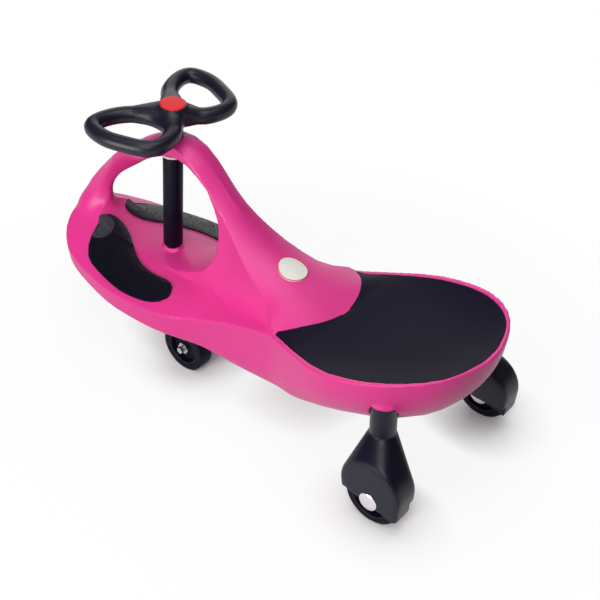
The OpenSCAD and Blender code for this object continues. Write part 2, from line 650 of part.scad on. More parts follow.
module wheel_cap()
    color(red) on_column(s_cap) rotate_extrude() polygon([
        [0, 0], [cap_d / 2, 0], [cap_d / 2, cap_t - 1], [cap_d / 2 - 1, cap_t - 0.3], [0, cap_t]
    ]);

// Front truck: a boss on the shaft and a beam that trails behind it
module front_truck()
    color(black) difference() {
        on_column() union() {
            translate([0, 0, s_boss_end]) cylinder(d = truck_boss_d, h = truck_boss_h);
            hull() {
                translate([0, 0, s_boss_end + 4])
                    cylinder(d = truck_boss_d - 8, h = truck_boss_h - 12, $fn = 32);
                translate([front_axle_r, 0, front_axle_s]) rotate([90, 0, 0])
                    cylinder(d = truck_beam_d - 4, h = truck_boss_d + 16, center = true, $fn = 32);
            }
            translate([front_axle_r, 0, front_axle_s]) rotate([90, 0, 0])
                cylinder(d = truck_beam_d, h = front_beam_w, center = true);
        }
        on_column(s_boss_end - 5) cylinder(d = shaft_bore_d, h = truck_boss_h + 10);
        at_front_axle() cylinder(d = front_axle_d + 2 * running_fit, h = front_beam_w + 10, center = true);
    }

// Front wheels, washers and nuts, on one axle
module at_front_axle() translate([front_axle_x, 0, front_axle_z]) rotate([-90, 0, 0]) children();
module front_axle()
    color(steel) at_front_axle() cylinder(d = front_axle_d, h = front_axle_len, center = true);
module front_axle_washers()
    color(steel) for (side = [0, 1])
        at_front_axle() mirror([0, 0, side]) translate([0, 0, front_beam_w / 2])
            washer(truck_beam_d - 4, front_axle_d + 2 * running_fit, washer_t);
module front_axle_nuts()
    color(steel) for (side = [0, 1])
        at_front_axle() mirror([0, 0, side]) translate([0, 0, front_hub_out + end_gap])
            nut(front_nut_af, front_axle_d + 2 * running_fit, 7);
front_nut_af = 17;
front_hub_out = front_track / 2 + 4;

// A tyre and hub turn together about the local z axis, outer face up
module tyre(d, w, bore, round)
    rotate_extrude() polygon(concat(
        [[bore / 2, -w / 2], [d / 2 - round, -w / 2]],
        [for (a = [-75 : 15 : -15]) [d / 2 - round + round * cos(a), -w / 2 + round + round * sin(a)]],
        [[d / 2, -w / 2 + round], [d / 2, w / 2 - round]],
        [for (a = [15 : 15 : 75]) [d / 2 - round + round * cos(a), w / 2 - round + round * sin(a)]],
        [[d / 2 - round, w / 2], [bore / 2, w / 2]]
    ));
module hub(d, w, bore, boss_d, boss_out, web)
    rotate_extrude() polygon([
        [bore / 2, -w / 2], [boss_d / 2, -w / 2], [boss_d / 2, -web / 2], [d / 2 - 3, -web / 2],
        [d / 2 - 3, -w / 2], [d / 2, -w / 2], [d / 2, w / 2], [d / 2 - 3, w / 2], [d / 2 - 5, web / 2],
        [boss_d / 2, web / 2], [boss_d / 2, boss_out], [bore / 2, boss_out]
    ]);
front_rim_d = front_tyre_d - 22;
front_hub_bore = front_axle_d + 2 * running_fit;
module at_front_wheel(side)
    translate([0, side * front_track / 2, 0]) at_front_axle() mirror([0, 0, side > 0 ? 0 : 1]) children();
module front_tyre(side)
    color(grey) at_front_wheel(side) tyre(front_tyre_d, front_tyre_w, front_rim_d + 0.1, 2.5);
module front_hub(side)
    color(black) at_front_wheel(side) hub(front_rim_d, front_tyre_w, front_hub_bore, 22, 4, 6);
module front_left_tyre() front_tyre(1);
module front_left_hub() front_hub(1);
module front_right_tyre() front_tyre(-1);
module front_right_hub() front_hub(-1);

// Rear legs: a stem and neck that swell into a housing over the wheel
neck_top_z = underside_z + 88 * stretch_z;
neck_len = 57;
module at_rear_axle(side)
    translate([rear_axle_x, side * rear_track / 2, rear_axle_z]) rotate([-90, 0, 0])
        mirror([0, 0, side > 0 ? 0 : 1]) children();
module leg_stem_place(side)
    translate([rear_axle_x + neck_lead, side * (rear_track / 2 - neck_inset), neck_top_z]) children();
module housing_disc(d) {
    cylinder(d = d - 2 * housing_chamfer, h = housing_reach, $fn = 36);
    translate([0, 0, housing_chamfer / 3])
        cylinder(d = d - housing_chamfer * 0.8, h = housing_reach - 2 * housing_chamfer / 3, $fn = 36);
    translate([0, 0, housing_chamfer]) cylinder(d = d, h = housing_reach - 2 * housing_chamfer, $fn = 36);
}
module rear_leg(side)
    color(charcoal) difference() {
        union() {
            hull() {
                leg_stem_place(side) translate([0, 0, -neck_len - 2])
                    cylinder(d = neck_d + 1, h = 4, $fn = 40);
                at_rear_axle(side) translate([0, 0, housing_w / 2 - housing_reach]) {
                    housing_disc(housing_d - 2);
                    translate([0, -housing_lift, 0]) housing_disc(housing_d + 2);
                }
            }
            leg_stem_place(side) translate([0, 0, -neck_len]) cylinder(d = neck_d, h = neck_len);
            leg_stem_place(side) translate([0, 0, -1]) cylinder(d = stem_d, h = stem_len - 1);
        }
        at_rear_axle(side) cylinder(d = cavity_d, h = cavity_w, center = true);
        at_rear_axle(side) translate([0, 0, -housing_w / 2 - housing_hollow])
            cylinder(d = cavity_d - 2 * housing_chamfer, h = housing_hollow);
        at_rear_axle(side) cylinder(d = rear_axle_d + 2 * running_fit, h = 2 * housing_w, center = true);
        at_rear_axle(side) rotate([0, 0, -housing_tilt])
            translate([-housing_d, housing_skirt, -housing_d]) cube(2 * housing_d);
        at_rear_axle(side) rotate([0, 0, -housing_tilt])
            translate([-housing_d, -inner_skirt, -housing_w / 2 - 0.5 - housing_d])
                cube([2 * housing_d, 2 * housing_d, housing_d]);
    }
module rear_left_leg() rear_leg(1);
module rear_right_leg() rear_leg(-1);

// Rear wheels on their own axles, with a cap on each end
module rear_axle(side)
    color(steel) at_rear_axle(side) cylinder(d = rear_axle_d, h = housing_w, center = true);
module rear_left_axle() rear_axle(1);
module rear_right_axle() rear_axle(-1);
rear_rim_d = rear_tyre_d - 24;
module rear_tyre(side) color(grey) at_rear_axle(side) tyre(rear_tyre_d, rear_tyre_w, rear_rim_d + 0.1, 8);
module rear_hub(side)
    color(black) at_rear_axle(side)
        hub(rear_rim_d, rear_tyre_w, rear_axle_d + 2 * running_fit, 22, rear_tyre_w / 2, 6);
module rear_left_tyre() rear_tyre(1);
module rear_left_hub() rear_hub(1);
module rear_right_tyre() rear_tyre(-1);
module rear_right_hub() rear_hub(-1);
module axle_cap()
    rotate_extrude() polygon([
        [0, 0], [axle_cap_d / 2, 0], [axle_cap_d / 2, axle_cap_t / 3],
        [axle_cap_d / 2 - 2, axle_cap_t * 0.8], [0, axle_cap_t]
    ]);
module rear_caps(face)
    color(steel) for (side = [1, -1])
        at_rear_axle(side) mirror([0, 0, face > 0 ? 0 : 1]) translate([0, 0, housing_w / 2]) axle_cap();
module rear_outer_caps() rear_caps(1);
module rear_inner_caps() rear_caps(-1);

body_shell();
seat_pad();
left_foot_pad();
right_foot_pad();
badge_plate();
upper_bush();
lower_bush();
steering_shaft();
column_sleeve();
steering_wheel();
wheel_cap();
wheel_washer();
wheel_nut();
thrust_washer();
front_truck();
truck_washer();
truck_nut();
front_axle();
front_axle_washers();
front_axle_nuts();
front_left_hub();
front_left_tyre();
front_right_hub();
front_right_tyre();
rear_left_leg();
rear_right_leg();
rear_left_axle();
rear_right_axle();
rear_left_hub();
rear_left_tyre();
rear_right_hub();
rear_right_tyre();
rear_outer_caps();
rear_inner_caps();
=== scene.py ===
import json
import logging
import math
from dataclasses import dataclass
from enum import Enum

import bmesh
import bpy
import numpy as np
from mathutils import Matrix, Vector
from mathutils.bvhtree import BVHTree


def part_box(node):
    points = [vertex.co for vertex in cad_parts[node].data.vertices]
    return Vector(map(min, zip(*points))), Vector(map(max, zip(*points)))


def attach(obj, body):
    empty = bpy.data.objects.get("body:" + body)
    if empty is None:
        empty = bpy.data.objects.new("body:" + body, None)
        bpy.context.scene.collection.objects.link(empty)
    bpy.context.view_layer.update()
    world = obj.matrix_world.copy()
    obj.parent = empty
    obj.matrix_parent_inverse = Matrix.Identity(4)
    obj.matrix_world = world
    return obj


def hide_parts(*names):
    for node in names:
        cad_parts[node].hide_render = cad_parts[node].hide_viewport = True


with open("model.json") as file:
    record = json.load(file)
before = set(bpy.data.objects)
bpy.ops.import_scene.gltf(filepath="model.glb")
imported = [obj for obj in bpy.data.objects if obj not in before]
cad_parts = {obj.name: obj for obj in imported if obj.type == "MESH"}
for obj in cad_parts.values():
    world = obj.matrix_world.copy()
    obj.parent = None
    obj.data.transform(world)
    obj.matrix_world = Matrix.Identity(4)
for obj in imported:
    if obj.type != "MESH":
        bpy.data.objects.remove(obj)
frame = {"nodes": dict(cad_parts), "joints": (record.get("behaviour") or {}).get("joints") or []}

LOG = logging.getLogger("wiggle_car")
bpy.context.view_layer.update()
Colour = tuple[float, float, float]
Place = tuple[float, float, float]
Span = tuple[float, float]


class Side(Enum):
    """The two sides of the car, as the sign of their Y."""

    LEFT = 1
    RIGHT = -1

    @property
    def word(self) -> str:
        """Returns the side's name as the nodes and bodies spell it."""
        return self.name.lower()


class Surface(Enum):
    """How a moulded surface is textured: the scale of its grain and the strength of its relief."""

    POLISHED = (1400, 0.02)
    SATIN = (900, 0.05)
    GRAINED = (650, 0.12)
    GRITTY = (520, 0.35)


def linear(red: int, green: int, blue: int) -> Colour:
    """Turns a display colour into the linear one that a shader takes.

    Args:
        red: Red, 0 to 255.
        green: Green, 0 to 255.
        blue: Blue, 0 to 255.

    Returns:
        The colour in linear light.
    """
    def channel(value: int) -> float:
        """Returns one channel in linear light."""
        part = value / 255
        return part / 12.92 if part <= 0.04045 else ((part + 0.055) / 1.055) ** 2.4
    return channel(red), channel(green), channel(blue)


def sum_of(tree: bpy.types.NodeTree, operation: str, first: object, second: object) -> bpy.types.NodeSocket:
    """Adds one Math node.

    Args:
        tree: The tree that takes the node.
        operation: Blender's name of the sum.
        first: A socket or a number.
        second: A socket or a number.

    Returns:
        The node's output socket.
    """
    node = tree.nodes.new("ShaderNodeMath")
    node.operation = operation
    for slot, value in zip(node.inputs, (first, second)):
        if isinstance(value, (int, float)):
            slot.default_value = value
        else:
            tree.links.new(value, slot)
    return node.outputs[0]


def soft_range(tree: bpy.types.NodeTree, value: bpy.types.NodeSocket, start: Span,
               result: Span = (0.0, 1.0)) -> bpy.types.NodeSocket:
    """Adds a Map Range node with soft ends.

    Args:
        tree: The tree that takes the node.
        value: The socket that it maps.
        start: The two ends of the value.
        result: What they are mapped to.

    Returns:
        The node's output socket.
    """
    node = tree.nodes.new("ShaderNodeMapRange")
    node.interpolation_type = "SMOOTHSTEP"
    for name, end in zip(("From Min", "From Max", "To Min", "To Max"), (*start, *result)):
        node.inputs[name].default_value = end
    tree.links.new(value, node.inputs["Value"])
    return node.outputs["Result"]


class GrainGroup:
    """The shader group that every moulded finish shares: grain height, tone and polish."""

    NAME = "moulded_grain"
    INPUTS = (("Colour", "NodeSocketColor", (0.5, 0.5, 0.5, 1)), ("Grain Scale", "NodeSocketFloat", 900.0),
              ("Tone Spread", "NodeSocketFloat", 0.06), ("Polish", "NodeSocketFloat", 0.35),
              ("Polish Spread", "NodeSocketFloat", 0.1))
    OUTPUTS = (("Colour", "NodeSocketColor"), ("Roughness", "NodeSocketFloat"), ("Height", "NodeSocketFloat"))
    FINE_DETAIL = 3
    BROAD_SCALE = 14
    BROAD_DETAIL = 2
    NOISE_MEAN = 0.5

    @classmethod
    def tree(cls) -> bpy.types.NodeTree:
        """Builds the group once.

        Returns:
            The group.
        """
        found = bpy.data.node_groups.get(cls.NAME)
        if found:
            return found
        group = bpy.data.node_groups.new(cls.NAME, "ShaderNodeTree")
        for name, kind, value in cls.INPUTS:
            group.interface.new_socket(name, in_out="INPUT", socket_type=kind).default_value = value
        for name, kind in cls.OUTPUTS:
            group.interface.new_socket(name, in_out="OUTPUT", socket_type=kind)
        nodes, links = group.nodes, group.links
        given, result = nodes.new("NodeGroupInput"), nodes.new("NodeGroupOutput")
        place = nodes.new("ShaderNodeTexCoord")
        fine, broad = nodes.new("ShaderNodeTexNoise"), nodes.new("ShaderNodeTexNoise")
        fine.inputs["Detail"].default_value = cls.FINE_DETAIL
        broad.inputs["Scale"].default_value = cls.BROAD_SCALE
        broad.inputs["Detail"].default_value = cls.BROAD_DETAIL
        for noise in (fine, broad):
            links.new(place.outputs["Object"], noise.inputs["Vector"])
        links.new(given.outputs["Grain Scale"], fine.inputs["Scale"])
        shift = sum_of(group, "SUBTRACT", broad.outputs["Fac"], cls.NOISE_MEAN)
        swing = sum_of(group, "MULTIPLY", shift, given.outputs["Tone Spread"])
        tint = nodes.new("ShaderNodeVectorMath")
        tint.operation = "SCALE"
        links.new(given.outputs["Colour"], tint.inputs[0])
        links.new(sum_of(group, "ADD", swing, 1.0), tint.inputs["Scale"])
        links.new(tint.outputs["Vector"], result.inputs["Colour"])
        off = sum_of(group, "SUBTRACT", fine.outputs["Fac"], cls.NOISE_MEAN)
        spread = sum_of(group, "MULTIPLY", off, given.outputs["Polish Spread"])
        links.new(sum_of(group, "ADD", given.outputs["Polish"], spread), result.inputs["Roughness"])
        links.new(fine.outputs["Fac"], result.inputs["Height"])
        return group


@dataclass(frozen=True)
class Finish:
    """A moulded or metal finish of the car."""

    name: str
    slot: str
    colour: Colour
    roughness: float
    surface: Surface = Surface.SATIN
    metallic: float = 0.0
    tone: float = 0.05
    specular: float = 0.25
    relief: float = 0.0006

    def material(self) -> bpy.types.Material:
        """Makes the finish's material once.

        Returns:
            The material.
        """
        found = bpy.data.materials.get(self.name)
        if found:
            return found
        grain, bump = self.surface.value
        made = bpy.data.materials.new(self.name)
        made.use_nodes = True
        made.diffuse_color = (*self.colour, 1)
        tree = made.node_tree
        shader = tree.nodes["Principled BSDF"]
        group = tree.nodes.new("ShaderNodeGroup")
        group.node_tree = GrainGroup.tree()
        group.inputs["Colour"].default_value = (*self.colour, 1)
        group.inputs["Grain Scale"].default_value = grain
        group.inputs["Tone Spread"].default_value = self.tone
        group.inputs["Polish"].default_value = self.roughness
        height = tree.nodes.new("ShaderNodeBump")
        height.inputs["Strength"].default_value = bump
        height.inputs["Distance"].default_value = self.relief
        colour, polish = self.shade(tree, group)
        tree.links.new(colour, shader.inputs["Base Color"])
        tree.links.new(polish, shader.inputs["Roughness"])
        tree.links.new(group.outputs["Height"], height.inputs["Height"])
        tree.links.new(height.outputs["Normal"], shader.inputs["Normal"])
        shader.inputs["Metallic"].default_value = self.metallic
        shader.inputs["Specular IOR Level"].default_value = self.specular
        return made

    def shade(self, tree: bpy.types.NodeTree, group: bpy.types.Node) -> tuple[bpy.types.NodeSocket, ...]:
        """Returns the sockets that give the colour and the roughness."""
        return group.outputs["Colour"], group.outputs["Roughness"]


@dataclass(frozen=True)
class TippedFinish(Finish):
    """A finish with a smoother round zone at the same place on both sides of the car, painted paler there as
    a highlight.
    """

    # Paler colour of the tip zone: a painted highlight.
    tip_painted_highlight: Colour = (0.03, 0.03, 0.04)
    tip_roughness: float = 0.45
    tip_centre: Place = (0.303, 0.04, 0.0)
    tip_reach: float = 0.02
    tip_soft: float = 0.0012

    def shade(self, tree: bpy.types.NodeTree, group: bpy.types.Node) -> tuple[bpy.types.NodeSocket, ...]:
        """Mixes in the tip's painted highlight colour and its roughness.

        Args:
            tree: The material's tree.
            group: Its grain group.

        Returns:
            The sockets that give the colour and the roughness.
        """
        place = tree.nodes.new("ShaderNodeTexCoord")
        part, flat = tree.nodes.new("ShaderNodeSeparateXYZ"), tree.nodes.new("ShaderNodeCombineXYZ")
        tree.links.new(place.outputs["Object"], part.inputs["Vector"])
        tree.links.new(part.outputs["X"], flat.inputs["X"])
        tree.links.new(sum_of(tree, "ABSOLUTE", part.outputs["Y"], 0.0), flat.inputs["Y"])
        away = tree.nodes.new("ShaderNodeVectorMath")
        away.operation = "DISTANCE"
        away.inputs[1].default_value = self.tip_centre
        tree.links.new(flat.outputs["Vector"], away.inputs[0])
        mask = soft_range(tree, away.outputs["Value"],
                          (self.tip_reach + self.tip_soft, self.tip_reach - self.tip_soft))
        colour, polish = tree.nodes.new("ShaderNodeMix"), tree.nodes.new("ShaderNodeMix")
        colour.data_type = "RGBA"
        for mix in (colour, polish):
            tree.links.new(mask, mix.inputs["Factor"])
        plain, tip = (next(s for s in colour.inputs if s.name == name and s.type == "RGBA") for name in "AB")
        tree.links.new(group.outputs["Colour"], plain)
        tip.default_value = (*self.tip_painted_highlight, 1)
        tree.links.new(group.outputs["Roughness"], polish.inputs["A"])
        polish.inputs["B"].default_value = self.tip_roughness
        mixed = next(s for s in colour.outputs if s.type == "RGBA")
        return mixed, polish.outputs["Result"]


# Pink body: its green is raised above the moulding's own colour, a painted sheen that whitens the whole body
# evenly.
PINK_WITH_PAINTED_SHEEN = Finish("pink_moulding", "body", linear(222, 48, 138), 0.44, specular=0.5)
SEAT_RUBBER = Finish("seat_rubber", "seat", linear(17, 14, 33), 0.58, Surface.GRAINED, specular=0.1)
# The foot plates' paler tip zone is a painted highlight where the plate bends up; its smoother roughness is
# the plate's own.
FOOT_PLATE = TippedFinish("foot_plate_rubber", "foot_grip", linear(3, 4, 20), 0.42, Surface.GRITTY,
                          specular=0.22, tip_painted_highlight=linear(58, 55, 66))
FOOT_GRIT = Finish("foot_plate_grit", "foot_grip", linear(5, 6, 22), 0.7, specular=0.06)
FOOT_TIP = Finish("foot_plate_ring", "foot_grip", linear(40, 38, 48), 0.45)
BADGE = Finish("badge_face", "badge", linear(232, 228, 222), 0.4, Surface.POLISHED)
BADGE_RIM = Finish("badge_rim", "badge", linear(206, 62, 48), 0.35, Surface.POLISHED)
WHEEL_BLACK = Finish("steering_black", "wheel_grip", linear(12, 9, 30), 0.4, specular=0.42)
CAP_RED = Finish("cap_red", "cap", linear(226, 30, 40), 0.4, Surface.POLISHED)
SLEEVE_BLACK = Finish("sleeve_black", "sleeve", linear(4, 7, 25), 0.45, specular=0.13)
LEG_BLACK = Finish("leg_black", "leg", linear(8, 6, 28), 0.36, specular=0.3)
TRUCK_BLACK = Finish("truck_black", "truck", linear(12, 10, 28), 0.45, specular=0.2)
TYRE_BLACK = Finish("tyre_black", "tyre", linear(9, 8, 26), 0.6, Surface.GRAINED, specular=0.12)
HUB_BLACK = Finish("hub_black", "hub", linear(8, 7, 24), 0.45, specular=0.16)
CAP_SILVER = Finish("cap_silver", "axle_cap", linear(226, 220, 226), 0.32, Surface.POLISHED, metallic=1.0)
STEEL = Finish("zinc_steel", "steel", linear(186, 186, 190), 0.33, Surface.POLISHED, metallic=1.0)
BUSH_PALE = Finish("bush_nylon", "bush", linear(232, 230, 226), 0.5)
BUSH_DARK = Finish("bush_black_nylon", "bush", linear(12, 10, 18), 0.5)


class Mesh:
    """Small tools that turn a copy of a solid into a finished moulding."""

    SAME_POINT = 1e-5
    NO_LENGTH = 1e-6
    SMOOTHING = 0.5
    BEVEL_STEPS = 2
    QUAD_TURN = math.radians(35)
    QUAD_SKEW = math.radians(75)
    CREASE_TURN = math.radians(50)

    @classmethod
    def copy(cls, node: str, name: str) -> bpy.types.Object:
        """Copies a solid of the frame with its loose triangles joined.

        Args:
            node: The node's name.
            name: The new piece's name.

        Returns:
            The new object, at the origin.
        """
        data = frame["nodes"][node].data.copy()
        data.name = name
        data.materials.clear()
        work = bmesh.new()
        work.from_mesh(data)
        bmesh.ops.remove_doubles(work, verts=work.verts, dist=cls.SAME_POINT)
        bmesh.ops.dissolve_degenerate(work, edges=work.edges, dist=cls.NO_LENGTH)
        work.to_mesh(data)
        work.free()
        made = bpy.data.objects.new(name, data)
        bpy.context.scene.collection.objects.link(made)
        return made

    @staticmethod
    def settle(piece: bpy.types.Object) -> None:
        """Turns a piece's modifiers into plain mesh.

        Args:
            piece: The piece.
        """
        graph = bpy.context.evaluated_depsgraph_get()
        data = bpy.data.meshes.new_from_object(piece.evaluated_get(graph))
        piece.modifiers.clear()
        old, piece.data = piece.data, data
        bpy.data.meshes.remove(old)
        data.name = piece.name

    @staticmethod
    def join(piece: bpy.types.Object, other: bpy.types.Object) -> None:
        """Adds another piece's mesh to a piece and takes the other away.

        Args:
            piece: The piece that stays.
            other: The piece that goes.
        """
        work = bmesh.new()
        work.from_mesh(piece.data)
        work.from_mesh(other.data)
        work.to_mesh(piece.data)
        work.free()
        bpy.data.objects.remove(other)

    @classmethod
    def skin(cls, piece: bpy.types.Object, cell: float, passes: int, most: int = 150000) -> None:
        """Draws one even skin over a solid and rounds its edges, as a moulding has them.

        Args:
            piece: The piece.
            cell: Side of a face of the skin.
            passes: How far the edges are rounded.
            most: Triangles that are kept, where it would have more.
        """
        step = piece.modifiers.new("skin", "REMESH")
        step.mode = "VOXEL"
        step.voxel_size = cell
        cls.settle(piece)
        cls.relax(piece.data, passes)
        count = 2 * len(piece.data.polygons)
        if count > most:
            thin = piece.modifiers.new("thin", "DECIMATE")
            thin.ratio = most / count
            cls.settle(piece)

    @staticmethod
    def neighbours(data: bpy.types.Mesh) -> tuple[np.ndarray, np.ndarray, np.ndarray]:
        """Reads which points of a mesh are joined by edges.

        Args:
            data: The mesh.

        Returns:
            The first and the second point of each edge, and each point's count of edges.
        """
        ends = np.empty(len(data.edges) * 2, np.int32)
        data.edges.foreach_get("vertices", ends)
        first, second = ends.reshape(-1, 2).T
        count = np.bincount(np.concatenate([first, second]), minlength=len(data.vertices))
        return first, second, np.maximum(count, 1)

    @staticmethod
    def points(data: bpy.types.Mesh) -> np.ndarray:
        """Reads the places of a mesh's points.

        Args:
            data: The mesh.

        Returns:
            The places, one row each.
        """
        flat = np.empty(len(data.vertices) * 3)
        data.vertices.foreach_get("co", flat)
        return flat.reshape(-1, 3)

    @staticmethod
    def normals(data: bpy.types.Mesh) -> np.ndarray:
        """Reads the directions that a mesh's points face.

        Args:
            data: The mesh.

        Returns:
            The directions, one row each.
        """
        flat = np.empty(len(data.vertices) * 3)
        data.vertex_normals.foreach_get("vector", flat)
        return flat.reshape(-1, 3)

    @staticmethod
    def move(data: bpy.types.Mesh, points: np.ndarray) -> None:
        """Puts a mesh's points in new places."""
        data.vertices.foreach_set("co", points.ravel())
        data.update()

    @staticmethod
    def search_tree(node: str) -> BVHTree:
        """Returns the tree that finds the nearest place on a solid of the frame."""
        data = frame["nodes"][node].data
        return BVHTree.FromPolygons([v.co for v in data.vertices], [p.vertices for p in data.polygons])

    @classmethod
    def relax(cls, data: bpy.types.Mesh, passes: int, share: np.ndarray | float = 1.0,
              back: float = 0.53) -> None:
        """Smooths a mesh, and with an opposite step keeps it from shrinking.

        Args:
            data: The mesh.
            passes: Passes of smoothing.
            share: How much of it each point takes part in.
            back: Strength of the opposite step, 0 for none; the nearer to 0.5, the rounder the edges get.
        """
        first, second, count = cls.neighbours(data)
        points = cls.points(data)
        weight = np.broadcast_to(share, len(points))[:, None]
        steps = (cls.SMOOTHING, -back) if back else (cls.SMOOTHING,)
        for part in steps * passes:
            total = np.stack([np.bincount(first, points[second, k], len(points))
                              + np.bincount(second, points[first, k], len(points))
                              for k in range(3)], axis=1)
            points = points + part * weight * (total / count[:, None] - points)
        cls.move(data, points)

    @classmethod
    def fair(cls, data: bpy.types.Mesh, passes: int, limit: float,
             hold: np.ndarray | float = 0.0) -> None:
        """Evens out the shading of a skin between its edges.

        Args:
            data: The mesh.
            passes: How far the shading is evened out.
            limit: Turn between two points, in degrees, from which they are an edge.
            hold: How much of its own shading each point keeps, 0 to 1.
        """
        first, second, _ = cls.neighbours(data)
        flow = cls.normals(data)
        size = len(flow)
        keep = np.broadcast_to(hold, size)[:, None]
        own = keep * flow
        low = math.cos(math.radians(limit))
        for _ in range(passes):
            turn = np.einsum("ij,ij->i", flow[first], flow[second])
            share = np.clip((turn - low) / (1 - low), 0, 1)
            total = np.stack([np.bincount(first, share * flow[second, k], size)
                              + np.bincount(second, share * flow[first, k], size)
                              for k in range(3)], axis=1) + flow
            flow = total / np.linalg.norm(total, axis=1)[:, None]
        data.shade_smooth()
        data.normals_split_custom_set_from_vertices(own + (1 - keep) * flow)

    @classmethod
    def bevel(cls, piece: bpy.types.Object, width: float, angle: float = 38) -> None:
        """Breaks a turned piece's edges and shades its round faces smooth.

        Args:
            piece: The piece.
            width: Width of the broken edge.
            angle: Turn, in degrees, from which an edge is broken.
        """
        step = piece.modifiers.new("broken_edges", "BEVEL")
        step.width = width
        step.segments = cls.BEVEL_STEPS
        step.limit_method = "ANGLE"
        step.angle_limit = math.radians(angle)
        step.harden_normals = False
        cls.settle(piece)
        piece.data.shade_smooth()
        piece.data.set_sharp_from_angle(angle=math.radians(angle))

    @classmethod
    def rounded(cls, piece: bpy.types.Object, crease: float, levels: int = 2) -> None:
        """Rounds a plate's outline and crown with a subdivision surface.

        Args:
            piece: The piece.
            crease: How crisp its sharp edges stay, 0 to 1.
            levels: Levels of subdivision.
        """
        work = bmesh.new()
        work.from_mesh(piece.data)
        bmesh.ops.join_triangles(work, faces=work.faces[:], angle_face_threshold=cls.QUAD_TURN,
                                 angle_shape_threshold=cls.QUAD_SKEW)
        layer = work.edges.layers.float.get("crease_edge") or work.edges.layers.float.new("crease_edge")
        for edge in work.edges:
            if len(edge.link_faces) == 2 and edge.calc_face_angle() > cls.CREASE_TURN:
                edge[layer] = crease
        work.to_mesh(piece.data)
        work.free()
        step = piece.modifiers.new("crown", "SUBSURF")
        step.levels = step.render_levels = levels
        cls.settle(piece)
        piece.data.shade_smooth()


class SurfaceTree:
    """A Geometry Nodes tree that makes something on the surface of a piece."""

    NAME = "surface_tree"
    INPUTS: tuple[tuple[str, str, object], ...] = ()

    @classmethod
    def tree(cls) -> bpy.types.NodeTree:
        """Builds the tree once.

        Returns:
            The tree.
        """
        found = bpy.data.node_groups.get(cls.NAME)
        if found:
            return found
        made = bpy.data.node_groups.new(cls.NAME, "GeometryNodeTree")
        face = made.interface
        face.new_socket("Surface", in_out="INPUT", socket_type="NodeSocketGeometry")
        for name, kind, value in cls.INPUTS:
            face.new_socket(name, in_out="INPUT", socket_type=kind).default_value = value
        face.new_socket("Finish", in_out="INPUT", socket_type="NodeSocketMaterial")
        face.new_socket("Result", in_out="OUTPUT", socket_type="NodeSocketGeometry")
        given, result = made.nodes.new("NodeGroupInput"), made.nodes.new("NodeGroupOutput")
        whole = made.nodes.new("GeometryNodeRealizeInstances")
        finish = made.nodes.new("GeometryNodeSetMaterial")
        made.links.new(cls.shape(made, given), whole.inputs["Geometry"])
        made.links.new(whole.outputs["Geometry"], finish.inputs["Geometry"])
        made.links.new(given.outputs["Finish"], finish.inputs["Material"])
        made.links.new(finish.outputs["Geometry"], result.inputs["Result"])
        return made

    @classmethod
    def shape(cls, tree: bpy.types.NodeTree, given: bpy.types.Node) -> bpy.types.NodeSocket:
        """Adds the nodes of the shape itself and returns their output."""
        raise NotImplementedError

    @classmethod
    def grow(cls, name: str, surface: bpy.types.Object, finish: Finish,
             sizes: dict[str, object]) -> bpy.types.Object:
        """Runs the tree on a piece.

        Args:
            name: The new piece's name.
            surface: The piece that carries it.
            finish: Its finish.
            sizes: Values of the tree's named inputs.

        Returns:
            The new piece as plain mesh.
        """
        made = bpy.data.objects.new(name, surface.data.copy())
        bpy.context.scene.collection.objects.link(made)
        step = made.modifiers.new(cls.NAME, "NODES")
        step.node_group = cls.tree()
        values = {**sizes, "Finish": finish.material()}
        for item in step.node_group.interface.items_tree:
            if item.in_out == "INPUT" and item.name in values:
                step[item.identifier] = values[item.name]
        Mesh.settle(made)
        return made


class BeadTree(SurfaceTree):
    """A round bead that follows a surface, seen from above."""

    NAME = "surface_bead"
    INPUTS = (("Centre", "NodeSocketVector", (0.0, 0.0, 1.0)), ("Radius", "NodeSocketFloat", 0.02),
              ("Bead", "NodeSocketFloat", 0.001))
    RING_POINTS = 96
    SECTION_POINTS = 10

    @classmethod
    def shape(cls, tree: bpy.types.NodeTree, given: bpy.types.Node) -> bpy.types.NodeSocket:
        """Adds a ring above the surface, drops it on it and gives it a round section.

        Args:
            tree: The tree that takes the nodes.
            given: The tree's input node.

        Returns:
            The bead's socket.
        """
        ring, wire = (tree.nodes.new("GeometryNodeCurvePrimitiveCircle") for _ in range(2))
        ring.inputs["Resolution"].default_value = cls.RING_POINTS
        wire.inputs["Resolution"].default_value = cls.SECTION_POINTS
        tree.links.new(given.outputs["Radius"], ring.inputs["Radius"])
        tree.links.new(given.outputs["Bead"], wire.inputs["Radius"])
        move = tree.nodes.new("GeometryNodeTransform")
        tree.links.new(ring.outputs["Curve"], move.inputs["Geometry"])
        tree.links.new(given.outputs["Centre"], move.inputs["Translation"])
        cast, drop = tree.nodes.new("GeometryNodeRaycast"), tree.nodes.new("GeometryNodeSetPosition")
        tree.links.new(given.outputs["Surface"], cast.inputs["Target Geometry"])
        tree.links.new(move.outputs["Geometry"], drop.inputs["Geometry"])
        tree.links.new(cast.outputs["Hit Position"], drop.inputs["Position"])
        sweep = tree.nodes.new("GeometryNodeCurveToMesh")
        smooth = tree.nodes.new("GeometryNodeSetShadeSmooth")
        tree.links.new(drop.outputs["Geometry"], sweep.inputs["Curve"])
        tree.links.new(wire.outputs["Curve"], sweep.inputs["Profile Curve"])
        tree.links.new(sweep.outputs["Mesh"], smooth.inputs["Geometry"])
        return smooth.outputs["Geometry"]


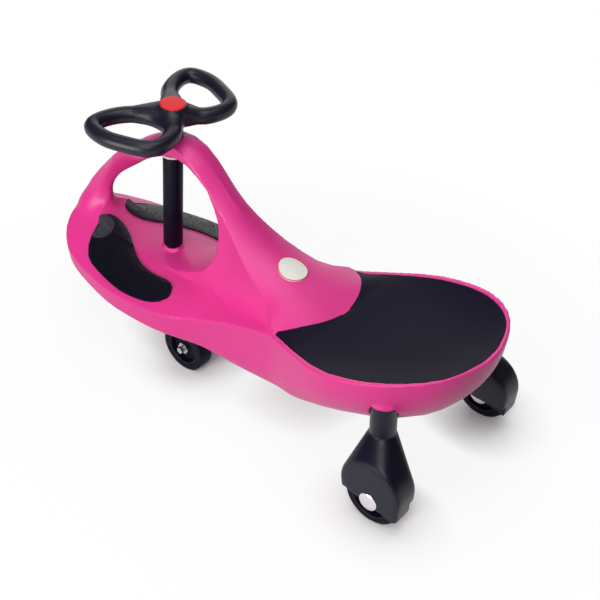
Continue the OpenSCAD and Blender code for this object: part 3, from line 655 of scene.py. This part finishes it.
class GritTree(SurfaceTree):
    """Grains of grit that stand out of the upper side of a plate."""

    NAME = "surface_grit"
    INPUTS = (("Density", "NodeSocketFloat", 100000.0), ("Grain", "NodeSocketFloat", 0.0005),
              ("Spread", "NodeSocketFloat", 0.35), ("Front", "NodeSocketFloat", 1.0),
              ("Seed", "NodeSocketInt", 7))
    UPPER_SIDE = 0.5

    @classmethod
    def shape(cls, tree: bpy.types.NodeTree, given: bpy.types.Node) -> bpy.types.NodeSocket:
        """Adds points on the upper side behind the front limit and a small grain on each.

        Args:
            tree: The tree that takes the nodes.
            given: The tree's input node.

        Returns:
            The grains' socket.
        """
        normal, place = tree.nodes.new("GeometryNodeInputNormal"), tree.nodes.new("GeometryNodeInputPosition")
        rise, run = (tree.nodes.new("ShaderNodeSeparateXYZ") for _ in range(2))
        tree.links.new(normal.outputs["Normal"], rise.inputs["Vector"])
        tree.links.new(place.outputs["Position"], run.inputs["Vector"])
        upper = sum_of(tree, "GREATER_THAN", rise.outputs["Z"], cls.UPPER_SIDE)
        behind = sum_of(tree, "LESS_THAN", run.outputs["X"], given.outputs["Front"])
        points = tree.nodes.new("GeometryNodeDistributePointsOnFaces")
        tree.links.new(given.outputs["Surface"], points.inputs["Mesh"])
        tree.links.new(sum_of(tree, "MULTIPLY", upper, behind), points.inputs["Selection"])
        tree.links.new(given.outputs["Density"], points.inputs["Density"])
        tree.links.new(given.outputs["Seed"], points.inputs["Seed"])
        grain, size = tree.nodes.new("GeometryNodeMeshIcoSphere"), tree.nodes.new("FunctionNodeRandomValue")
        tree.links.new(given.outputs["Grain"], grain.inputs["Radius"])
        low, high = (s for s in size.inputs if s.type == "VALUE" and s.name in ("Min", "Max"))
        tree.links.new(sum_of(tree, "SUBTRACT", 1.0, given.outputs["Spread"]), low)
        tree.links.new(sum_of(tree, "ADD", 1.0, given.outputs["Spread"]), high)
        tree.links.new(given.outputs["Seed"], size.inputs["Seed"])
        seat = tree.nodes.new("GeometryNodeInstanceOnPoints")
        tree.links.new(points.outputs["Points"], seat.inputs["Points"])
        tree.links.new(points.outputs["Rotation"], seat.inputs["Rotation"])
        tree.links.new(grain.outputs["Mesh"], seat.inputs["Instance"])
        tree.links.new(next(s for s in size.outputs if s.type == "VALUE"), seat.inputs["Scale"])
        return seat.outputs["Instances"]


def dress(piece: bpy.types.Object, body: str, finish: Finish, *nodes: str) -> None:
    """Gives a piece its finish, the body that it rides on and the nodes that it stands for.

    Args:
        piece: The piece, in place.
        body: The body's name.
        finish: Its finish.
        nodes: The solids that it stands for.
    """
    piece.data.materials.clear()
    piece.data.materials.append(finish.material())
    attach(piece, body)
    if nodes:
        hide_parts(*nodes)
    LOG.info("%s: %d faces on %s", piece.name, len(piece.data.polygons), body)


def paint(node: str, finish: Finish) -> None:
    """Gives a solid that stays in view its finish.

    Args:
        node: The node's name.
        finish: Its finish.
    """
    solid = frame["nodes"][node]
    solid.data.materials.clear()
    solid.data.materials.append(finish.material())


def middle_of(node: str) -> Vector:
    """Returns the middle of a solid's box."""
    return sum(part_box(node), Vector()) / 2


def ramp(value: np.ndarray | float, ends: Span) -> np.ndarray | float:
    """Returns how far a value has come from one end to the other, 0 to 1, with soft ends."""
    part = np.clip((value - ends[0]) / (ends[1] - ends[0]), 0, 1)
    return part * part * (3 - 2 * part)


@dataclass
class BodyMoulding:
    """The one-piece body with its arch window.

    The front leg of the arch is a mask over the skin: it is smoothed, drawn together on the window's side
    and hollowed along a slanting line, which is given as pairs of a height and a place along the car.
    """

    cell: float = 0.0022
    edge_passes: int = 9
    most_faces: int = 190000
    shade_passes: int = 60
    shade_limit: float = 12
    recess_lift: float = 0.0022
    recess_reach: float = 0.001
    recess_gap: float = 0.00012
    leg_front: Span = (0.212, 0.262)
    leg_rise: Span = (0.15, 0.175)
    leg_clear: Span = (0.002, 0.018)
    leg_passes: int = 70
    leg_depth: float = 0.028
    leg_narrow: float = 0.7
    leg_push: float = 0.011
    window_middle: Span = (0.2, 0.2)
    wall_share: float = 0.02
    wall_half: float = 0.004
    wall_facing: float = 0.5
    scoop_line: tuple[Span, ...] = ((0.178, 0.341), (0.199, 0.335), (0.2165, 0.326), (0.236, 0.313),
                                    (0.257, 0.3), (0.273, 0.287))
    scoop_foot: Span = (0.168, 0.212)
    scoop_head: Span = (0.3, 0.252)
    scoop_slope: float = 0.85
    scoop_passes: int = 18
    leg_half: float = 0.024
    ridge_part: float = 0.45

    def build(self) -> None:
        """Builds the body."""
        shell = Mesh.copy("body_shell", "body_moulding")
        self.fill_recess(shell.data)
        Mesh.skin(shell, self.cell, self.edge_passes, self.most_faces)
        share = self.front_leg(shell.data)
        Mesh.relax(shell.data, self.leg_passes, share, 0.0)
        self.narrow(shell.data, share)
        Mesh.relax(shell.data, self.leg_passes // 2, share, 0.0)
        self.scoop(shell.data)
        Mesh.relax(shell.data, self.scoop_passes, share, 0.0)
        Mesh.fair(shell.data, self.shade_passes, self.shade_limit, share)
        dress(shell, "chassis", PINK_WITH_PAINTED_SHEEN, "body_shell")

    def fill_recess(self, data: bpy.types.Mesh) -> None:
        """Raises the floor of the seat's recess, so that the rim beside it stays even.

        Args:
            data: The body.
        """
        tree = Mesh.search_tree("seat_pad")
        for point in data.vertices:
            near = tree.find_nearest(point.co, self.recess_reach)[0]
            if near and near.z - point.co.z > self.recess_gap:
                point.co.z += self.recess_lift

    def front_leg(self, data: bpy.types.Mesh) -> np.ndarray:
        """Finds the broad, soft front leg of the arch, clear of the foot plates.

        Args:
            data: The body.

        Returns:
            How far each point lies in the leg, 0 to 1.
        """
        trees = [Mesh.search_tree(f"{side.word}_foot_pad") for side in Side]
        points = Mesh.points(data)
        share = ramp(points[:, 0], self.leg_front) * ramp(points[:, 2], self.leg_rise)
        for index in np.flatnonzero(share):
            gaps = [tree.find_nearest(points[index], self.leg_clear[1])[3] for tree in trees]
            near = min((gap for gap in gaps if gap is not None), default=self.leg_clear[1])
            share[index] *= ramp(near, self.leg_clear)
        return share

    def narrow(self, data: bpy.types.Mesh, share: np.ndarray) -> None:
        """Draws the window's side of the front leg together, so that the leg's sides meet there.

        Args:
            data: The body.
            share: How far each point takes part.
        """
        points = Mesh.points(data)
        flow = Mesh.normals(data)[:, [0, 2]]
        side = points[:, [0, 2]]
        inward = np.array(self.window_middle) - side
        facing = np.einsum("ij,ij->i", flow, inward) / np.linalg.norm(inward, axis=1)
        in_middle = np.abs(points[:, 1]) < self.wall_half
        wall = np.flatnonzero((share > self.wall_share) & in_middle & (facing > self.wall_facing))
        for index in np.flatnonzero(share):
            away = np.linalg.norm(side[wall] - side[index], axis=1)
            line = flow[wall[np.argmin(away)]]
            part = share[index] * (1 - ramp(away.min(), (0.0, self.leg_depth)))
            points[index, 1] *= 1 - self.leg_narrow * part
            points[index, [0, 2]] += self.leg_push * part * line * max(-line[0], 0.0) ** 2
        Mesh.move(data, points)

    def scoop(self, data: bpy.types.Mesh) -> None:
        """Hollows the sides of the front leg ahead of a slanting line, up to a ridge down its middle.

        Args:
            data: The body.
        """
        points = Mesh.points(data)
        rise = points[:, 2]
        heights, places = zip(*self.scoop_line)
        ahead = np.maximum(points[:, 0] - np.interp(rise, heights, places), 0)
        depth = self.scoop_slope * ahead * ramp(rise, self.scoop_foot) * ramp(rise, self.scoop_head)
        points[:, 1] *= np.maximum(1 - depth / self.leg_half, self.ridge_part)
        Mesh.move(data, points)


@dataclass
class BodyPlates:
    """The plates that sit in the body's recesses: seat, foot plates and badge."""

    seat_crease: float = 0.75
    foot_edge: float = 0.0006
    foot_turn: float = 30
    grit_front: float = 0.283
    tip_ring: Place = (0.298, 0.042, 1.0)
    tip_ring_radius: float = 0.0115
    tip_bead: float = 0.0006
    badge_crease: float = 0.85
    badge_rim: float = 0.0212
    badge_bead: float = 0.0007
    badge_drop: float = 0.1

    def build(self) -> None:
        """Builds the plates and paints the bushes beside them."""
        seat = Mesh.copy("seat_pad", "seat_plate")
        Mesh.rounded(seat, self.seat_crease)
        dress(seat, "chassis", SEAT_RUBBER, "seat_pad")
        for side in Side:
            self.foot_plate(side)
        self.badge()
        paint("upper_bush", BUSH_PALE)
        paint("lower_bush", BUSH_DARK)

    def foot_plate(self, side: Side) -> None:
        """Builds a foot plate with its grit and the plain ring of its tip.

        Args:
            side: Its side of the car.
        """
        pad = Mesh.copy(f"{side.word}_foot_pad", f"{side.word}_foot_plate")
        Mesh.bevel(pad, self.foot_edge, self.foot_turn)
        dress(pad, "chassis", FOOT_PLATE, f"{side.word}_foot_pad")
        grit = GritTree.grow(f"{side.word}_foot_grit", pad, FOOT_GRIT, {"Front": self.grit_front})
        dress(grit, "chassis", FOOT_GRIT)
        along, out, height = self.tip_ring
        ring = BeadTree.grow(f"{side.word}_foot_ring", pad, FOOT_TIP,
                             {"Centre": Vector((along, side.value * out, height)),
                              "Radius": self.tip_ring_radius, "Bead": self.tip_bead})
        dress(ring, "chassis", FOOT_TIP)

    def badge(self) -> None:
        """Builds the bare badge disc and its plain rim."""
        badge = Mesh.copy("badge_plate", "badge_disc")
        Mesh.rounded(badge, self.badge_crease)
        dress(badge, "chassis", BADGE, "badge_plate")
        above = middle_of("badge_plate") + Vector((0, 0, self.badge_drop))
        rim = BeadTree.grow("badge_rim_bead", badge, BADGE_RIM,
                            {"Centre": above, "Radius": self.badge_rim, "Bead": self.badge_bead})
        dress(rim, "chassis", BADGE_RIM)


@dataclass
class Steering:
    """The column, the looped steering wheel and its cap."""

    cell: float = 0.0015
    edge_passes: int = 14
    shade_passes: int = 25
    shade_limit: float = 20
    plug_drop: float = 0.0016
    plug_swell: float = 1.04
    cap_edge: float = 0.0008
    sleeve_edge: float = 0.0012
    steel_nodes: tuple[str, ...] = ("steering_shaft", "wheel_washer", "wheel_nut", "thrust_washer",
                                    "truck_washer", "truck_nut")

    def build(self) -> None:
        """Builds the column and the wheel."""
        wheel = Mesh.copy("steering_wheel", "looped_wheel")
        Mesh.join(wheel, self.plug())
        Mesh.skin(wheel, self.cell, self.edge_passes)
        Mesh.fair(wheel.data, self.shade_passes, self.shade_limit)
        dress(wheel, "steering", WHEEL_BLACK, "steering_wheel")
        cap = Mesh.copy("wheel_cap", "wheel_cap_disc")
        Mesh.bevel(cap, self.cap_edge)
        dress(cap, "steering", CAP_RED, "wheel_cap")
        sleeve = Mesh.copy("column_sleeve", "column_tube")
        Mesh.bevel(sleeve, self.sleeve_edge)
        dress(sleeve, "steering", SLEEVE_BLACK, "column_sleeve")
        for node in self.steel_nodes:
            paint(node, STEEL)

    def plug(self) -> bpy.types.Object:
        """Makes a filling for the seat of the cap, so that the wheel's skin stays even round it.

        Returns:
            The filling, in place.
        """
        made = Mesh.copy("wheel_cap", "cap_seat_filling")
        steer = next(joint for joint in frame["joints"] if joint["name"] == "steer")
        middle = middle_of("wheel_cap")
        down = Vector(steer["axis"]).normalized() * -self.plug_drop
        down = down if down.z < 0 else -down
        made.data.transform(Matrix.Translation(middle + down) @ Matrix.Scale(self.plug_swell, 4)
                            @ Matrix.Translation(-middle))
        return made


@dataclass
class RoadWheel:
    """One wheel, a tyre on its hub, that turns on a body of its own."""

    row: str
    side: Side
    edge: float = 0.0008

    def build(self) -> None:
        """Builds the tyre and the hub."""
        corner = f"{self.row}_{self.side.word}"
        for part, finish in (("tyre", TYRE_BLACK), ("hub", HUB_BLACK)):
            node = f"{corner}_{part}"
            piece = Mesh.copy(node, f"{node}_ring")
            Mesh.bevel(piece, self.edge)
            dress(piece, f"{corner}_wheel", finish, node)


@dataclass
class FrontTruck:
    """The turning truck under the nose with its two wheels."""

    cell: float = 0.0016
    edge_passes: int = 6
    shade_passes: int = 12
    shade_limit: float = 20

    def build(self) -> None:
        """Builds the truck and its wheels."""
        truck = Mesh.copy("front_truck", "truck_casting")
        Mesh.skin(truck, self.cell, self.edge_passes)
        Mesh.fair(truck.data, self.shade_passes, self.shade_limit)
        dress(truck, "steering", TRUCK_BLACK, "front_truck")
        for side in Side:
            RoadWheel("front", side).build()
        for node in ("front_axle", "front_axle_washers", "front_axle_nuts"):
            paint(node, STEEL)


@dataclass
class RearLegs:
    """The two rear legs with their wheel housings, wheels and axle caps."""

    cell: float = 0.0016
    edge_passes: int = 7
    shade_passes: int = 16
    shade_limit: float = 18
    cap_edge: float = 0.0005

    def build(self) -> None:
        """Builds both legs and their wheels."""
        for side in Side:
            node = f"rear_{side.word}_leg"
            leg = Mesh.copy(node, f"{side.word}_leg_housing")
            Mesh.skin(leg, self.cell, self.edge_passes)
            Mesh.fair(leg.data, self.shade_passes, self.shade_limit)
            dress(leg, "chassis", LEG_BLACK, node)
            RoadWheel("rear", side).build()
            paint(f"rear_{side.word}_axle", STEEL)
        for row in ("outer", "inner"):
            caps = Mesh.copy(f"rear_{row}_caps", f"{row}_axle_caps")
            Mesh.bevel(caps, self.cap_edge)
            dress(caps, "chassis", CAP_SILVER, f"rear_{row}_caps")


@dataclass(frozen=True)
class Lamp:
    """A soft square lamp that faces the car."""

    name: str
    place: Place
    size: float
    power: float
    target: Place = (0.0, 0.0, 0.15)

    def hang(self) -> None:
        """Hangs the lamp in the scene."""
        data = bpy.data.lights.new(self.name, "AREA")
        data.size = self.size
        data.energy = self.power
        made = bpy.data.objects.new(self.name, data)
        made.location = self.place
        line = Vector(self.target) - Vector(self.place)
        made.rotation_euler = line.to_track_quat("-Z", "Y").to_euler()
        bpy.context.scene.collection.objects.link(made)


@dataclass
class Studio:
    """The floor, the soft light and the camera.

    The camera's focal length is in pixels of a square picture of frame_pixels on a side.
    """

    floor_size: float = 80.0
    floor_grid: int = 8
    floor_colour: Colour = (0.95, 0.95, 0.955)
    floor_bounce: Colour = (0.15, 0.15, 0.15)
    shadow_reach: Span = (0.4, 0.7)
    shadow_lift: float = 0.88
    painted_contact_reach: float = 0.08
    painted_contact_power: float = 3.5
    room_light: Span = (0.1, 0.18)
    room_side: Place = (0.1, 0.6, 0.75)
    room_turn: Span = (-0.7, 0.9)
    lamps: tuple[Lamp, ...] = (Lamp("key_light", (0.1, 2.4, 0.7), 1.0, 42),
                               Lamp("top_light", (-0.1, 0.0, 2.5), 1.4, 20),
                               Lamp("front_light", (-0.9, 1.4, 2.2), 1.0, 21),
                               Lamp("back_light", (1.4, -1.9, 1.1), 2.0, 18))
    camera_place: Place = (-0.9251, 1.0398, 1.2249)
    camera_line: Place = (0.50125, -0.608, -0.6157)
    focal_pixels: float = 1196.75
    frame_pixels: float = 600.0
    sensor: float = 36.0

    def build(self) -> None:
        """Builds the studio round the car."""
        self.floor()
        self.world()
        for lamp in self.lamps:
            lamp.hang()
        self.camera()

    def floor(self) -> None:
        """Lays the pale floor."""
        work = bmesh.new()
        bmesh.ops.create_grid(work, x_segments=self.floor_grid, y_segments=self.floor_grid,
                              size=self.floor_size / 2)
        data = bpy.data.meshes.new("floor")
        work.to_mesh(data)
        work.free()
        made = bpy.data.objects.new("floor", data)
        bpy.context.scene.collection.objects.link(made)
        data.materials.append(self.floor_paper())

    def floor_paper(self) -> bpy.types.Material:
        """Makes the floor's material, which is even white away from the car and keeps its lit shadow near it;
        there its glow is dimmed by ambient occlusion, a painted contact shadow.

        Returns:
            The material.
        """
        finish = bpy.data.materials.new("floor_paper")
        finish.use_nodes = True
        tree = finish.node_tree
        tree.nodes.clear()
        path, place = tree.nodes.new("ShaderNodeLightPath"), tree.nodes.new("ShaderNodeTexCoord")
        seen = path.outputs["Is Camera Ray"]
        for name in ("Is Glossy Ray", "Is Transmission Ray"):
            seen = sum_of(tree, "MAXIMUM", seen, path.outputs[name])
        reach = tree.nodes.new("ShaderNodeVectorMath")
        reach.operation = "LENGTH"
        tree.links.new(place.outputs["Object"], reach.inputs[0])
        fade = soft_range(tree, reach.outputs["Value"], self.shadow_reach, (self.shadow_lift, 1.0))
        # Ambient occlusion dims the floor's glow near the car's parts: a painted contact shadow.
        near = tree.nodes.new("ShaderNodeAmbientOcclusion")
        near.inputs["Distance"].default_value = self.painted_contact_reach
        lift = sum_of(tree, "MULTIPLY", fade, sum_of(tree, "POWER", near.outputs["AO"], self.painted_contact_power))
        paper, white = tree.nodes.new("ShaderNodeBsdfDiffuse"), tree.nodes.new("ShaderNodeEmission")
        tone = tree.nodes.new("ShaderNodeMix")
        tone.data_type = "RGBA"
        tree.links.new(seen, tone.inputs["Factor"])
        tone.inputs["A"].default_value = (*self.floor_bounce, 1)
        tone.inputs["B"].default_value = (*self.floor_colour, 1)
        tree.links.new(tone.outputs["Result"], paper.inputs["Color"])
        mix, out = tree.nodes.new("ShaderNodeMixShader"), tree.nodes.new("ShaderNodeOutputMaterial")
        tree.links.new(sum_of(tree, "MULTIPLY", seen, lift), mix.inputs["Fac"])
        tree.links.new(paper.outputs["BSDF"], mix.inputs[1])
        tree.links.new(white.outputs["Emission"], mix.inputs[2])
        tree.links.new(mix.outputs["Shader"], out.inputs["Surface"])
        return finish

    def world(self) -> None:
        """Fills the room with white light that is stronger on the key light's side."""
        world = bpy.data.worlds.new("studio")
        bpy.context.scene.world = world
        world.use_nodes = True
        tree = world.node_tree
        place, turn = tree.nodes.new("ShaderNodeTexCoord"), tree.nodes.new("ShaderNodeVectorMath")
        turn.operation = "DOT_PRODUCT"
        turn.inputs[1].default_value = Vector(self.room_side).normalized()
        tree.links.new(place.outputs["Generated"], turn.inputs[0])
        level = soft_range(tree, turn.outputs["Value"], self.room_turn, self.room_light)
        ground = tree.nodes["Background"]
        ground.inputs["Color"].default_value = (1, 1, 1, 1)
        tree.links.new(level, ground.inputs["Strength"])

    def camera(self) -> None:
        """Sets the camera where the photograph was taken from."""
        data = bpy.data.cameras.new("camera")
        data.sensor_width = self.sensor
        data.lens = self.focal_pixels * self.sensor / self.frame_pixels
        made = bpy.data.objects.new("camera", data)
        made.location = self.camera_place
        made.rotation_euler = Vector(self.camera_line).to_track_quat("-Z", "Y").to_euler()
        bpy.context.scene.collection.objects.link(made)
        bpy.context.scene.camera = made


def main() -> None:
    """Builds the car and its studio."""
    logging.basicConfig(level=logging.INFO, format="%(name)s: %(message)s")
    bpy.context.scene.view_settings.view_transform = "Standard"
    for assembly in (Studio(), BodyMoulding(), BodyPlates(), Steering(), FrontTruck(), RearLegs()):
        LOG.info("building %s", type(assembly).__name__)
        assembly.build()


if __name__ == "__main__":
    main()
